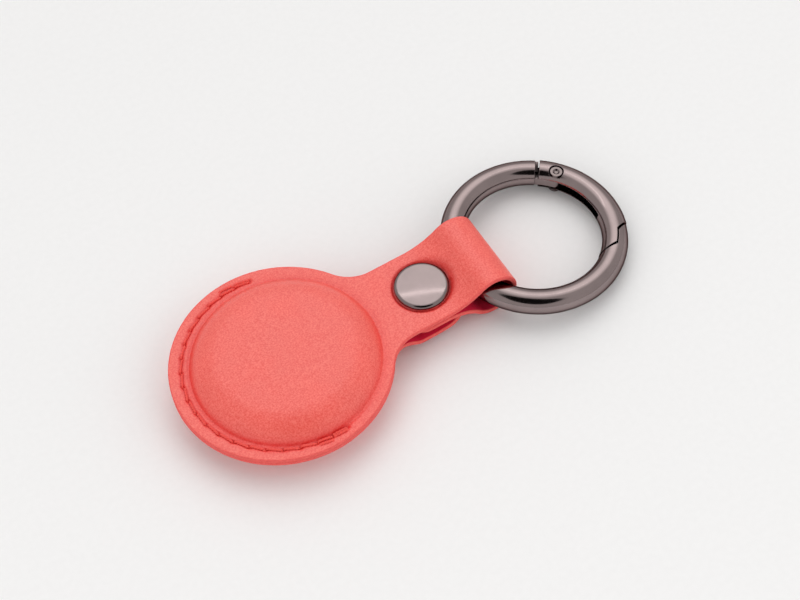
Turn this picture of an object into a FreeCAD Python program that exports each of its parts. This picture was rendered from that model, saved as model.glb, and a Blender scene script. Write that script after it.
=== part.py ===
import FreeCAD, Part
import math
import os
import Sketcher

Vector = FreeCAD.Vector

# Driving sizes of the holder: lengths in millimetres, angles in degrees.
# The part lies on its back: +X runs from the pouch to the ring, z = 0 is the table.
SIZES = {
    # Leather pouch
    "leather": 0.85,
    "disc_radius": 19.5,
    "dome_shift": 1.0,
    "dome_foot_radius": 17.0,
    "dome_top_radius": 12.4,
    "dome_crease": 1.1,
    "front_rise": 3.4,
    "back_rise": 4.6,
    "neck_fillet": 7.0,
    "flap_line": 3.5,
    "flap_slit": 0.1,
    # Strap that folds round the ring
    "strap_width": 15.5,
    "fold_gap": 0.15,
    "fold_crease": 1.2,
    "fold_margin": 0.15,
    "loop_clearance": 0.1,
    "loop_sag": 0.5,
    "return_reach": 5.7,
    "return_corner": 3.0,
    # Closing tab on the back leather
    "tab_width": 15.0,
    "tab_reach": 1.0,
    "tab_corner": 5.5,
    "tab_bend_run": 5.7,
    # Seam
    "stitch_radius": 17.6,
    "stitch_shift": 0.4,
    "stitch_end_angle": 81.0,
    "stitch_pitch": 2.9,
    "stitch_length": 2.5,
    "thread_width": 0.5,
    "tack_offset": 0.8,
    # Press stud
    "snap_x": 28.0,
    "cap_diameter": 9.7,
    "cap_edge": 0.65,
    "cap_height": 0.62,
    "cap_side": 0.25,
    "cap_sheet": 0.15,
    "cap_lip": 1.0,
    "post_diameter": 2.3,
    "post_bore": 1.5,
    "post_flange": 0.25,
    "post_flange_diameter": 8.1,
    "post_curl": 0.6,
    "curl_height": 0.2,
    "socket_diameter": 9.0,
    "socket_height": 1.65,
    "socket_sheet": 0.25,
    "socket_lip": 0.2,
    "snap_gap": 0.1,
    "stud_flange": 0.25,
    "stud_flange_diameter": 8.4,
    "stud_margin": 0.05,
    "stud_neck": 3.4,
    "stud_head": 4.0,
    "stud_top": 2.8,
    "stud_play": 0.22,
    "stud_rise": 1.17,
    "stud_head_height": 0.45,
    "stud_crown": 0.22,
    "rivet_diameter": 8.0,
    "rivet_height": 0.6,
    "rivet_edge": 0.4,
    "grip_wire": 0.55,
    "grip_room": 0.03,
    "grip_play": 0.1,
    "grip_opening": 50.0,
    # Spring-gate ring
    "ring_bore": 24.5,
    "wire_diameter": 4.5,
    "gate_wire": 4.75,
    "body_end": 57.1,
    "gate_end": 53.9,
    "lip_tip": -22.0,
    "lip_root": -30.0,
    "step_end": -42.0,
    "step_inner": -52.5,
    "step_radius": 14.75,
    "nose_gap": 0.3,
    "pin_angle": 41.0,
    "pin_radius": 13.8,
    "pin_diameter": 1.5,
    "pin_play": 0.05,
    "pin_head": 2.2,
    "pin_head_height": 0.5,
    "pin_dimple": 1.3,
    "pin_sink": 0.09,
    "head_room": 0.25,
    "tongue_thickness": 1.6,
    "tongue_height": 2.7,
    "tongue_root": 3.0,
    "shoulder_gap": 0.8,
    "shoulder_sink": 0.55,
    "shoulder_thickness": 2.4,
    "channel_play": 0.15,
    "tongue_room": 0.2,
    "channel_end": -11.0,
    # Coil spring in the gate
    "coil_diameter": 1.6,
    "coil_wire": 0.35,
    "coil_pitch": 0.86,
    "coil_room": 0.12,
}

# Sizes that follow from the driving ones, written as sheet expressions.
RIM_MID = "(Dims.back_rise + Dims.leather)"
RIM_TOP = "(Dims.back_rise + 2 * Dims.leather)"
DOME_RUN = "(Dims.dome_foot_radius - Dims.dome_top_radius)"
RETURN_TOP = f"({RIM_MID} - Dims.fold_gap)"
RETURN_BOTTOM = f"({RETURN_TOP} - Dims.leather)"
STUD_SEAT = f"({RETURN_BOTTOM} - Dims.socket_height - Dims.snap_gap - Dims.stud_flange)"
TAB_BOTTOM = f"({STUD_SEAT} - Dims.leather)"
STRAP_HALF = "(Dims.strap_width / 2)"
TAB_HALF = "(Dims.tab_width / 2)"
FLAT_END = "(Dims.snap_x + Dims.cap_diameter / 2 + Dims.fold_margin)"
TAB_TIP = f"({FLAT_END} + Dims.tab_reach)"
WIRE_RADIUS = "(Dims.wire_diameter / 2)"
GATE_RADIUS = "(Dims.gate_wire / 2)"
RING_RADIUS = "((Dims.ring_bore + Dims.wire_diameter) / 2)"
RING_INNER = "(Dims.ring_bore / 2)"
RING_OUTER = "(Dims.ring_bore / 2 + Dims.wire_diameter)"
# Ring's centre to the loop's axis: the curved wire reaches as far past that axis in the middle
# of the strap, on the ring's outside, as it does on the ring's inside at the strap's edges
RING_ARM = f"(({RING_OUTER} + sqrt({RING_INNER}^2 - {STRAP_HALF}^2)) / 2)"
LOOP_RADIUS = f"({RING_OUTER} - {RING_ARM} + Dims.loop_clearance)"
LOOP_OUTER = f"({LOOP_RADIUS} + Dims.leather)"
FOLD_BEND = "(Dims.fold_crease + Dims.leather)"
FOLD_REACH = f"({FOLD_BEND} + {LOOP_RADIUS})"
# The ring's weight lets the loop sag below the middle of the folded strap
UPPER_DROP = f"(Dims.fold_gap / 2 + Dims.loop_sag + {FOLD_BEND})"
LOWER_DROP = f"(Dims.fold_gap / 2 - Dims.loop_sag + {FOLD_BEND})"
UPPER_RUN = f"sqrt({FOLD_REACH}^2 - {UPPER_DROP}^2)"
LOWER_RUN = f"sqrt({FOLD_REACH}^2 - {LOWER_DROP}^2)"
LOOP_X = f"({FLAT_END} + {UPPER_RUN})"
LOOP_Z = f"({RIM_MID} - Dims.fold_gap / 2 - Dims.loop_sag)"
RETURN_END = f"({LOOP_X} - {LOWER_RUN})"
# The ring hangs from the loop and its far end lies on the table
RING_TILT = f"asin(({LOOP_Z} - {GATE_RADIUS}) / ({RING_RADIUS} + {RING_ARM}))"
TONGUE_OUTER = "(Dims.pin_radius + Dims.tongue_height / 2)"
CHANNEL_FLOOR = f"({TONGUE_OUTER} + Dims.tongue_room)"
CHANNEL_HALF = "(Dims.tongue_thickness / 2 + Dims.channel_play)"
SHOULDER_OUTER = f"({RING_OUTER} - Dims.shoulder_sink)"
PIN_OFFSET = f"({RING_RADIUS} - Dims.pin_radius)"
PIN_TOP = f"(sqrt({GATE_RADIUS}^2 - {PIN_OFFSET}^2) - Dims.pin_sink)"
# Angle by which the nose's cutting plan runs on past the wire that it trims
NOSE_SPARE = "30"
# Bores and seats of the press stud
SOCKET_BORE = "(Dims.stud_head / 2 + Dims.stud_play)"
GRIP_MEAN = "(Dims.stud_neck / 2 + Dims.grip_play + Dims.grip_wire / 2)"

doc = FreeCAD.newDocument("tag_holder")
sheet = doc.addObject("Spreadsheet::Sheet", "Dims")
for row, (alias, value) in enumerate(SIZES.items(), start=1):
    sheet.set(f"A{row}", str(value))
    sheet.setAlias(f"A{row}", alias)
doc.recompute()


def number(expression):
    """Present value of a sheet expression."""
    result = sheet.evalExpression(expression)
    return float(getattr(result, "Value", result))


def polar(radius, angle):
    """Expressions for the point at a radius and an angle."""
    return f"({radius}) * cos({angle})", f"({radius}) * sin({angle})"


# Sketching


def new_body(name):
    body = doc.addObject("PartDesign::Body", name)
    body.Label = name
    return body


def new_sketch(body, name, plane, shift=None, turn=None):
    """A sketch on one of the body's origin planes, moved or turned by sheet expressions."""
    sketch = body.newObject("Sketcher::SketchObject", name)
    origin = [item for item in body.Origin.OriginFeatures if item.Role == plane][0]
    sketch.AttachmentSupport = [(origin, "")]
    sketch.MapMode = "FlatFace"
    for axis, expression in (shift or {}).items():
        sketch.setExpression(f"AttachmentOffset.Base.{axis}", expression)
    if turn is not None:
        upright = FreeCAD.Rotation(Vector(0, 1, 0), number(turn))
        sketch.AttachmentOffset = FreeCAD.Placement(Vector(), upright)
        sketch.setExpression("AttachmentOffset.Rotation.Angle", turn)
    return sketch


def bind(sketch, constraint, expression):
    """Add a dimension and tie it to the sheet."""
    index = sketch.addConstraint(constraint)
    sketch.setExpression(f"Constraints[{index}]", expression)


def draw(sketch, corners):
    """Closed outline through corners (x, y) or (x, y, radius, way): radius and way, left or
    right, make the edge that leaves that corner an arc that turns that way."""
    points = [Vector(number(corner[0]), number(corner[1]), 0) for corner in corners]
    ends = []
    for index, corner in enumerate(corners):
        start = points[index]
        finish = points[(index + 1) % len(points)]
        if len(corner) == 2:
            edge = sketch.addGeometry(Part.LineSegment(start, finish), False)
            ends.append((edge, 1, 2))
            continue
        left = corner[3] == "left"
        edge = sketch.addGeometry(arc_between(start, finish, number(corner[2]), left), False)
        ends.append((edge, 1, 2) if left else (edge, 2, 1))
        bind(sketch, Sketcher.Constraint("Radius", edge, number(corner[2])), corner[2])
    for index, (edge, first, last) in enumerate(ends):
        after, after_first, _ = ends[(index + 1) % len(ends)]
        sketch.addConstraint(Sketcher.Constraint("Coincident", edge, last, after, after_first))
    for (edge, first, _), corner, point in zip(ends, corners, points):
        bind(sketch, Sketcher.Constraint("DistanceX", edge, first, point.x), corner[0])
        bind(sketch, Sketcher.Constraint("DistanceY", edge, first, point.y), corner[1])


def arc_between(start, finish, radius, left):
    """Arc of less than a half turn from start to finish, turning left or right."""
    chord = finish - start
    half = chord.Length / 2
    across = Vector(-chord.y, chord.x, 0).normalize()
    rise = math.sqrt(max(radius * radius - half * half, 0.0))
    centre = start + chord * 0.5 + across * (rise if left else -rise)
    first, last = (start, finish) if left else (finish, start)
    from_angle = math.atan2(first.y - centre.y, first.x - centre.x)
    to_angle = math.atan2(last.y - centre.y, last.x - centre.x)
    return Part.ArcOfCircle(Part.Circle(centre, Vector(0, 0, 1), radius), from_angle, to_angle)


def draw_circle(sketch, x, y, radius):
    circle = Part.Circle(Vector(number(x), number(y), 0), Vector(0, 0, 1), number(radius))
    edge = sketch.addGeometry(circle, False)
    bind(sketch, Sketcher.Constraint("DistanceX", edge, 3, number(x)), x)
    bind(sketch, Sketcher.Constraint("DistanceY", edge, 3, number(y)), y)
    bind(sketch, Sketcher.Constraint("Radius", edge, number(radius)), radius)


# Features


def pad(body, sketch, name, length, both_sides=False):
    feature = body.newObject("PartDesign::Pad", name)
    feature.Profile = sketch
    feature.SideType = "Symmetric" if both_sides else "One side"
    feature.setExpression("Length", length)
    doc.recompute()
    return feature


def cut_through(body, sketch, name):
    """Cut a sketch through the whole body, both ways."""
    before = body.Shape.Volume
    feature = body.newObject("PartDesign::Pocket", name)
    feature.Profile = sketch
    feature.SideType = "Symmetric"
    feature.Type = "ThroughAll"
    doc.recompute()
    assert body.Shape.Volume < before, f"{name} cuts nothing"


def turned(body, sketch, name, angle="360", cut=False):
    """Turn a sketch about its own vertical axis, as material or as a cut."""
    before = body.Shape.Volume if cut else 0.0
    feature = body.newObject("PartDesign::Groove" if cut else "PartDesign::Revolution", name)
    feature.Profile = sketch
    feature.ReferenceAxis = (sketch, ["V_Axis"])
    feature.setExpression("Angle", angle)
    doc.recompute()
    assert not cut or body.Shape.Volume < before, f"{name} cuts nothing"


def round_upright_edges(body, name, x, radius):
    """Round the body's upright edges at one x."""
    base = body.Tip
    picked = []
    for index, edge in enumerate(base.Shape.Edges, start=1):
        box = edge.BoundBox
        upright = box.ZLength > 1e-6 and box.XLength < 1e-6 and box.YLength < 1e-6
        if upright and abs(box.XMin - number(x)) < 1e-6:
            picked.append(f"Edge{index}")
    feature = body.newObject("PartDesign::Fillet", name)
    feature.Base = (base, picked)
    feature.setExpression("Radius", radius)
    doc.recompute()


# Leather


def neck_corners(half_width):
    """Ends of the fillet between the disc and a strap of a half width, on the +y side."""
    reach = "(Dims.disc_radius + Dims.neck_fillet)"
    x = f"sqrt({reach}^2 - ({half_width} + Dims.neck_fillet)^2)"
    share = f"Dims.disc_radius / {reach}"
    on_disc = (f"{x} * {share}", f"({half_width} + Dims.neck_fillet) * {share}")
    return on_disc, (x, half_width)


def disc_and_neck(half_width, strap_end):
    """Plan of the disc with its filleted neck; strap_end lists the corners past the neck."""
    (disc_x, disc_y), (neck_x, neck_y) = neck_corners(half_width)
    rear = "-Dims.disc_radius"
    return [
        (neck_x, f"-{neck_y}"),
        *strap_end,
        (neck_x, neck_y, "Dims.neck_fillet", "right"),
        (disc_x, disc_y, "Dims.disc_radius", "left"),
        ("0", "Dims.disc_radius", "Dims.disc_radius", "left"),
        (rear, "0", "Dims.disc_radius", "left"),
        ("0", rear, "Dims.disc_radius", "left"),
        (disc_x, f"-{disc_y}", "Dims.neck_fillet", "right"),
    ]


def dome_curve(rise, foot, side, skin):
    """Corners of a moulded dome's S-shaped flank, from its foot to its top. The dome stands on
    height foot and goes up or down by side; skin is the depth below its outer surface."""
    sweep = f"(2 * atan({rise} / {DOME_RUN}))"
    outer_shoulder = f"(({DOME_RUN}^2 + {rise}^2) / (2 * {rise}) - Dims.dome_crease)"
    shoulder = f"({outer_shoulder} - {skin})"
    crease = f"(Dims.dome_crease + {skin})"
    turn = ("left", "right") if side == "+" else ("right", "left")
    top = f"({foot} {side} ({rise} - {skin}))"
    middle_x = f"(Dims.dome_top_radius + {shoulder} * sin({sweep}))"
    middle_z = f"({foot} {side} ({rise} - {outer_shoulder} + {shoulder} * cos({sweep})))"
    return [
        ("Dims.dome_foot_radius", f"({foot} {side} (0 - {skin}))", crease, turn[1]),
        (middle_x, middle_z, shoulder, turn[0]),
        ("Dims.dome_top_radius", top),
        ("0", top),
    ]


def add_dome(body, rise, foot, side):
    """Mould a dome into a flat layer whose outer face is at height foot, and hollow it."""
    inner = f"({foot} {side} (0 - Dims.leather))"
    for cut in (False, True):
        name = "dome_hollow" if cut else "dome"
        sketch = new_sketch(body, f"{name}_section", "XZ_Plane", shift={"x": "Dims.dome_shift"})
        skin = "Dims.leather" if cut else "0"
        corners = dome_curve(rise, foot, side, skin)
        base = [("0", inner)] if cut else [("0", inner), ("Dims.dome_foot_radius", inner)]
        draw(sketch, base + corners)
        turned(body, sketch, name, cut=cut)


def front_panel():
    """Front leather: domed disc and a strap that folds round the ring and returns below itself."""
    body = new_body("front_panel")
    plan = new_sketch(body, "plan", "XY_Plane", shift={"z": RIM_MID})
    draw(plan, disc_and_neck(STRAP_HALF, []))
    pad(body, plan, "disc", "Dims.leather")
    add_dome(body, "Dims.front_rise", RIM_TOP, "+")
    # The fold's crease and the loop touch on the line between their centres
    share = f"{LOOP_RADIUS} / {FOLD_REACH}"
    outer_share = f"{LOOP_OUTER} / {FOLD_REACH}"
    upper_inner = (f"{LOOP_X} - {UPPER_RUN} * {share}", f"{LOOP_Z} + {UPPER_DROP} * {share}")
    lower_inner = (f"{LOOP_X} - {LOWER_RUN} * {share}", f"{LOOP_Z} - {LOWER_DROP} * {share}")
    upper_outer = (
        f"{LOOP_X} - {UPPER_RUN} * {outer_share}",
        f"{LOOP_Z} + {UPPER_DROP} * {outer_share}",
    )
    lower_outer = (
        f"{LOOP_X} - {LOWER_RUN} * {outer_share}",
        f"{LOOP_Z} - {LOWER_DROP} * {outer_share}",
    )
    neck_x = neck_corners(STRAP_HALF)[1][0]
    tip_x = "(Dims.snap_x - Dims.return_reach)"
    ribbon = new_sketch(body, "ribbon", "XZ_Plane")
    draw(ribbon, [
        (neck_x, RIM_MID),
        (FLAT_END, RIM_MID, FOLD_BEND, "left"),
        (*upper_inner, LOOP_RADIUS, "right"),
        (f"{LOOP_X} + {LOOP_RADIUS}", LOOP_Z, LOOP_RADIUS, "right"),
        (*lower_inner, FOLD_BEND, "left"),
        (RETURN_END, RETURN_TOP),
        (tip_x, RETURN_TOP),
        (tip_x, RETURN_BOTTOM),
        (RETURN_END, RETURN_BOTTOM, "Dims.fold_crease", "right"),
        (*lower_outer, LOOP_OUTER, "left"),
        (f"{LOOP_X} + {LOOP_OUTER}", LOOP_Z, LOOP_OUTER, "left"),
        (*upper_outer, "Dims.fold_crease", "right"),
        (FLAT_END, RIM_TOP),
        (neck_x, RIM_TOP),
    ])
    pad(body, ribbon, "folded_strap", "Dims.strap_width", both_sides=True)
    round_upright_edges(body, "return_corners", tip_x, "Dims.return_corner")
    hole = new_sketch(body, "post_hole", "XY_Plane")
    draw_circle(hole, "Dims.snap_x", "0", "Dims.post_diameter / 2")
    cut_through(body, hole, "post_hole_cut")
    return body


def back_leather():
    """Back leather in one piece: domed disc and a closing tab that bows down to the press stud."""
    body = new_body("back_leather")
    bend_end = "(Dims.snap_x - Dims.stud_flange_diameter / 2 - Dims.stud_margin)"
    bend_start = f"({bend_end} - Dims.tab_bend_run)"
    drop = f"({RIM_MID} - {STUD_SEAT})"
    # Two equal arcs lead down from the rim to the tab, with half the leather on each side
    bend = f"((Dims.tab_bend_run^2 + {drop}^2) / (4 * {drop}))"
    half = "Dims.leather / 2"
    lean = f"(2 * atan({drop} / Dims.tab_bend_run))"
    side_step = f"{half} * sin({lean})"
    rise_step = f"{half} * cos({lean})"
    middle_x = f"({bend_start} + Dims.tab_bend_run / 2)"
    middle_z = f"({RIM_MID} - {half} - {drop} / 2)"
    wide = f"({bend} + {half})"
    tight = f"({bend} - {half})"
    section = new_sketch(body, "section", "XZ_Plane")
    draw(section, [
        ("-Dims.disc_radius", "Dims.back_rise"),
        (bend_start, "Dims.back_rise", tight, "right"),
        (f"{middle_x} - {side_step}", f"{middle_z} - {rise_step}", wide, "left"),
        (bend_end, TAB_BOTTOM),
        (TAB_TIP, TAB_BOTTOM),
        (TAB_TIP, STUD_SEAT),
        (bend_end, STUD_SEAT, tight, "right"),
        (f"{middle_x} + {side_step}", f"{middle_z} + {rise_step}", wide, "left"),
        (bend_start, RIM_MID),
        ("-Dims.disc_radius", RIM_MID),
    ])
    pad(body, section, "bowed_sheet", "2 * Dims.disc_radius", both_sides=True)
    tip_side = f"({TAB_HALF} - Dims.tab_corner)"
    tip_start = f"({TAB_TIP} - Dims.tab_corner)"
    outline = new_sketch(body, "outline", "XY_Plane")
    draw(outline, disc_and_neck(TAB_HALF, [
        (tip_start, f"-{TAB_HALF}", "Dims.tab_corner", "left"),
        (TAB_TIP, f"-{tip_side}"),
        (TAB_TIP, tip_side, "Dims.tab_corner", "left"),
        (tip_start, TAB_HALF),
    ]))
    margin = "2 * Dims.disc_radius"
    draw(outline, [
        (f"-{margin}", f"-{margin}"),
        (f"{TAB_TIP} + {margin}", f"-{margin}"),
        (f"{TAB_TIP} + {margin}", margin),
        (f"-{margin}", margin),
    ])
    cut_through(body, outline, "outline_cut")
    add_dome(body, "Dims.back_rise", "Dims.back_rise", "-")
    hole = new_sketch(body, "post_hole", "XY_Plane")
    draw_circle(hole, "Dims.snap_x", "0", "Dims.post_diameter / 2")
    cut_through(body, hole, "post_hole_cut")
    return body


def back_halves(leather):
    """The back leather on each side of the line where it flexes: the sewn half and the flap."""
    reach = f"(2 * Dims.disc_radius + {TAB_TIP})"
    halves = []
    for name, start in (
        ("back_panel", f"Dims.flap_line - Dims.flap_slit / 2 - {reach}"),
        ("back_flap", "Dims.flap_line + Dims.flap_slit / 2"),
    ):
        room = doc.addObject("Part::Box", f"{name}_room")
        for side in ("Length", "Width", "Height"):
            room.setExpression(side, reach)
        room.setExpression("Placement.Base.x", start)
        room.setExpression("Placement.Base.y", f"-{reach} / 2")
        room.setExpression("Placement.Base.z", f"-{reach} / 2")
        half = doc.addObject("Part::Common", name)
        half.Base = leather
        half.Tool = room
        halves.append(half)
    return halves


def stitch_row(name, height, side):
    """One thread of the seam: a bar on the leather for each stitch, doubled where the seam is
    tacked at both ends. Side is 1 on the front face and -1 on the back."""
    start = math.radians(sheet.stitch_end_angle)
    span = 2 * (math.pi - start)
    count = round(span * sheet.stitch_radius / sheet.stitch_pitch)
    rows = [(index, sheet.stitch_radius) for index in range(count)]
    tack_radius = sheet.stitch_radius + sheet.tack_offset
    rows += [(index, tack_radius) for index in (0, count - 1)]
    round_radius = sheet.thread_width / 2
    bars = []
    for index, radius in rows:
        angle = start + span * (index + 0.5) / count
        bar = Part.makeCylinder(round_radius, sheet.stitch_length, Vector(), Vector(0, 1, 0), 180)
        bar.rotate(Vector(), Vector(0, 1, 0), -90 * side)
        bar.translate(Vector(radius, -sheet.stitch_length / 2, height))
        bar.rotate(Vector(), Vector(0, 0, 1), math.degrees(angle))
        bar.translate(Vector(sheet.stitch_shift, 0, 0))
        bars.append(bar)
    thread = doc.addObject("Part::Feature", name)
    thread.Label = name
    thread.Shape = Part.makeCompound(bars)
    thread.Placement = FreeCAD.Placement()
    return thread


# Press stud


def snap_piece(name, corners):
    """A piece turned about the press stud's axis."""
    body = new_body(name)
    sketch = new_sketch(body, "section", "XZ_Plane", shift={"x": "Dims.snap_x"})
    draw(sketch, corners)
    turned(body, sketch, "turned_piece")
    return body


def snap_cap():
    """Visible cap: a flat-topped shell with a bevelled edge, curled in below over the post."""
    top = f"({RIM_TOP} + Dims.cap_height)"
    wall = "(Dims.cap_diameter / 2 - Dims.cap_sheet)"
    plateau = "(Dims.cap_diameter / 2 - Dims.cap_edge)"
    rise = "(Dims.cap_height - Dims.cap_side)"
    # The rounded edge runs level into the plateau
    rounding = f"((Dims.cap_edge^2 + {rise}^2) / (2 * {rise}))"
    return snap_piece("snap_cap", [
        (f"{wall} - Dims.cap_lip", RIM_TOP),
        ("Dims.cap_diameter / 2", RIM_TOP),
        ("Dims.cap_diameter / 2", f"{RIM_TOP} + Dims.cap_side", rounding, "left"),
        (plateau, top),
        ("0", top),
        ("0", f"{top} - Dims.cap_sheet"),
        (f"{plateau} - Dims.cap_sheet / 2", f"{top} - Dims.cap_sheet"),
        (wall, f"{RIM_TOP} + Dims.cap_side"),
        (wall, f"{RIM_TOP} + Dims.cap_sheet"),
        (f"{wall} - Dims.cap_lip", f"{RIM_TOP} + Dims.cap_sheet"),
    ])


def snap_cap_post():
    """Tubular rivet that holds the cap, both strap layers and the socket together."""
    seat = f"({RIM_TOP} + Dims.cap_sheet)"
    shank = "Dims.post_diameter / 2"
    bore = "Dims.post_bore / 2"
    curl_top = f"({RETURN_BOTTOM} - Dims.socket_sheet)"
    curl_bottom = f"({curl_top} - Dims.curl_height)"
    curl = f"({shank} + Dims.post_curl)"
    return snap_piece("snap_cap_post", [
        ("0", RIM_TOP),
        (bore, RIM_TOP),
        (bore, curl_bottom),
        (f"{curl} - Dims.curl_height", curl_bottom, "Dims.curl_height", "left"),
        (curl, curl_top),
        (shank, curl_top),
        (shank, seat),
        ("Dims.post_flange_diameter / 2", seat),
        ("Dims.post_flange_diameter / 2", f"{seat} + Dims.post_flange"),
        ("0", f"{seat} + Dims.post_flange"),
    ])


def snap_socket():
    """Socket below the folded-back strap end, with a groove for the grip spring."""
    bottom = f"({RETURN_BOTTOM} - Dims.socket_height)"
    groove_bottom = f"({bottom} + Dims.socket_lip)"
    groove_top = f"({groove_bottom} + Dims.grip_wire + 2 * Dims.grip_room)"
    groove = f"({GRIP_MEAN} + Dims.grip_wire / 2 + 2 * Dims.grip_room)"
    ceiling = f"({RETURN_BOTTOM} - Dims.socket_sheet)"
    edge = "Dims.socket_lip"
    return snap_piece("snap_socket", [
        (SOCKET_BORE, bottom),
        (f"Dims.socket_diameter / 2 - 2 * {edge}", bottom),
        (f"Dims.socket_diameter / 2 - {edge}", f"{bottom} + {edge}"),
        (f"Dims.socket_diameter / 2 - {edge}", f"{ceiling} - {edge}", edge, "right"),
        ("Dims.socket_diameter / 2", ceiling),
        ("Dims.socket_diameter / 2", RETURN_BOTTOM),
        ("Dims.post_diameter / 2", RETURN_BOTTOM),
        ("Dims.post_diameter / 2", ceiling),
        (SOCKET_BORE, ceiling),
        (SOCKET_BORE, groove_top),
        (groove, groove_top),
        (groove, groove_bottom),
        (SOCKET_BORE, groove_bottom),
    ])


def snap_spring():
    """Open ring of wire in the socket's groove, which grips the stud's neck."""
    body = new_body("snap_spring")
    half_opening = "(Dims.grip_opening / 2)"
    height = (
        f"({RETURN_BOTTOM} - Dims.socket_height + Dims.socket_lip"
        " + Dims.grip_wire / 2 + Dims.grip_room)"
    )
    section = new_sketch(body, "section", "XZ_Plane", turn=half_opening)
    draw_circle(section, GRIP_MEAN, height, "Dims.grip_wire / 2")
    turned(body, section, "open_ring", f"360 - 2 * {half_opening}")
    body.setExpression("Placement.Base.x", "Dims.snap_x")
    return body


def snap_stud():
    """Stud on the closing tab: flange, neck and a rounded head that clicks past the spring."""
    flange_top = f"({STUD_SEAT} + Dims.stud_flange)"
    head_top = f"({flange_top} + Dims.stud_rise)"
    bore_top = f"({flange_top} + Dims.stud_rise / 2)"
    return snap_piece("snap_stud", [
        ("Dims.post_diameter / 2", STUD_SEAT),
        ("Dims.stud_flange_diameter / 2", STUD_SEAT),
        ("Dims.stud_flange_diameter / 2", flange_top),
        ("Dims.stud_neck / 2", flange_top),
        ("Dims.stud_neck / 2", f"{head_top} - Dims.stud_head_height"),
        ("Dims.stud_head / 2", f"{head_top} - Dims.stud_crown"),
        ("Dims.stud_top / 2", head_top),
        ("0", head_top),
        ("0", bore_top),
        ("Dims.post_diameter / 2", bore_top),
    ])


def snap_stud_post():
    """Rivet from the outside of the closing tab into the stud."""
    bottom = f"({TAB_BOTTOM} - Dims.rivet_height)"
    bore_top = f"({STUD_SEAT} + Dims.stud_flange + Dims.stud_rise / 2)"
    edge = "Dims.rivet_edge"
    return snap_piece("snap_stud_post", [
        ("0", bottom),
        (f"Dims.rivet_diameter / 2 - {edge}", bottom, edge, "left"),
        ("Dims.rivet_diameter / 2", f"{bottom} + {edge}"),
        ("Dims.rivet_diameter / 2", TAB_BOTTOM),
        ("Dims.post_diameter / 2", TAB_BOTTOM),
        ("Dims.post_diameter / 2", bore_top),
        ("0", bore_top),
    ])


# Spring-gate ring, drawn flat about its own centre and then laid in the loop


def lay_ring(piece):
    """Tilt a piece of the ring and move it to where the ring hangs in the loop."""
    piece.Placement = FreeCAD.Placement(Vector(), FreeCAD.Rotation(Vector(0, 1, 0), number(RING_TILT)))
    piece.setExpression("Placement.Rotation.Angle", RING_TILT)
    piece.setExpression("Placement.Base.x", f"{LOOP_X} + {RING_ARM} * cos({RING_TILT})")
    piece.setExpression("Placement.Base.z", f"{LOOP_Z} - {RING_ARM} * sin({RING_TILT})")


def bent_wire(body, radius, start, finish):
    """Round wire of the ring between two angles."""
    section = new_sketch(body, "wire_section", "XZ_Plane", turn=start)
    draw_circle(section, RING_RADIUS, "0", radius)
    turned(body, section, "wire", f"{finish} - ({start})")


def nose_step(body, side):
    """Cut the stepped joint at the nose: the body keeps an outer lip and the gate tucks in
    behind it. Side is + for the gate's face and - for the body's."""
    half_gap = "Dims.nose_gap / 2"
    shift = f"({half_gap} / {RING_RADIUS} * 180 / pi)"
    away = "-" if side == "+" else "+"
    radius = f"(Dims.step_radius {away} {half_gap})"
    inside = f"({RING_INNER} - Dims.wire_diameter)"
    outside = f"({RING_OUTER} + Dims.wire_diameter)"
    # The two slanted faces run on past the wire's surface in a straight line
    lip_root = polar(radius, f"(Dims.lip_root {side} {shift})")
    lip_tip = polar(RING_OUTER, f"(Dims.lip_tip {side} {shift})")
    step_end = polar(radius, f"(Dims.step_end {side} {shift})")
    step_inner = polar(RING_INNER, f"(Dims.step_inner {side} {shift})")
    lip_far = tuple(f"({tip}) * 2 - ({root})" for tip, root in zip(lip_tip, lip_root))
    step_far = tuple(f"({end}) * 2 - ({root})" for end, root in zip(step_inner, step_end))
    if side == "+":
        past = f"(Dims.step_inner - {NOSE_SPARE})"
        corners = [lip_far, (*lip_root, radius, "right"), step_end, step_far]
        corners += [polar(inside, past), polar(outside, past), polar(outside, "Dims.step_end")]
    else:
        past = f"(Dims.lip_tip + {NOSE_SPARE})"
        corners = [step_far, (*step_end, radius, "left"), lip_root, lip_far]
        corners += [polar(outside, past), polar(inside, past)]
    sketch = new_sketch(body, "nose_plan", "XY_Plane")
    draw(sketch, corners)
    cut_through(body, sketch, "nose_cut")


def pin_hole(body, radius):
    hole = new_sketch(body, "pin_hole", "XY_Plane")
    draw_circle(hole, *polar("Dims.pin_radius", "Dims.pin_angle"), radius)
    cut_through(body, hole, "pin_hole_cut")


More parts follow.
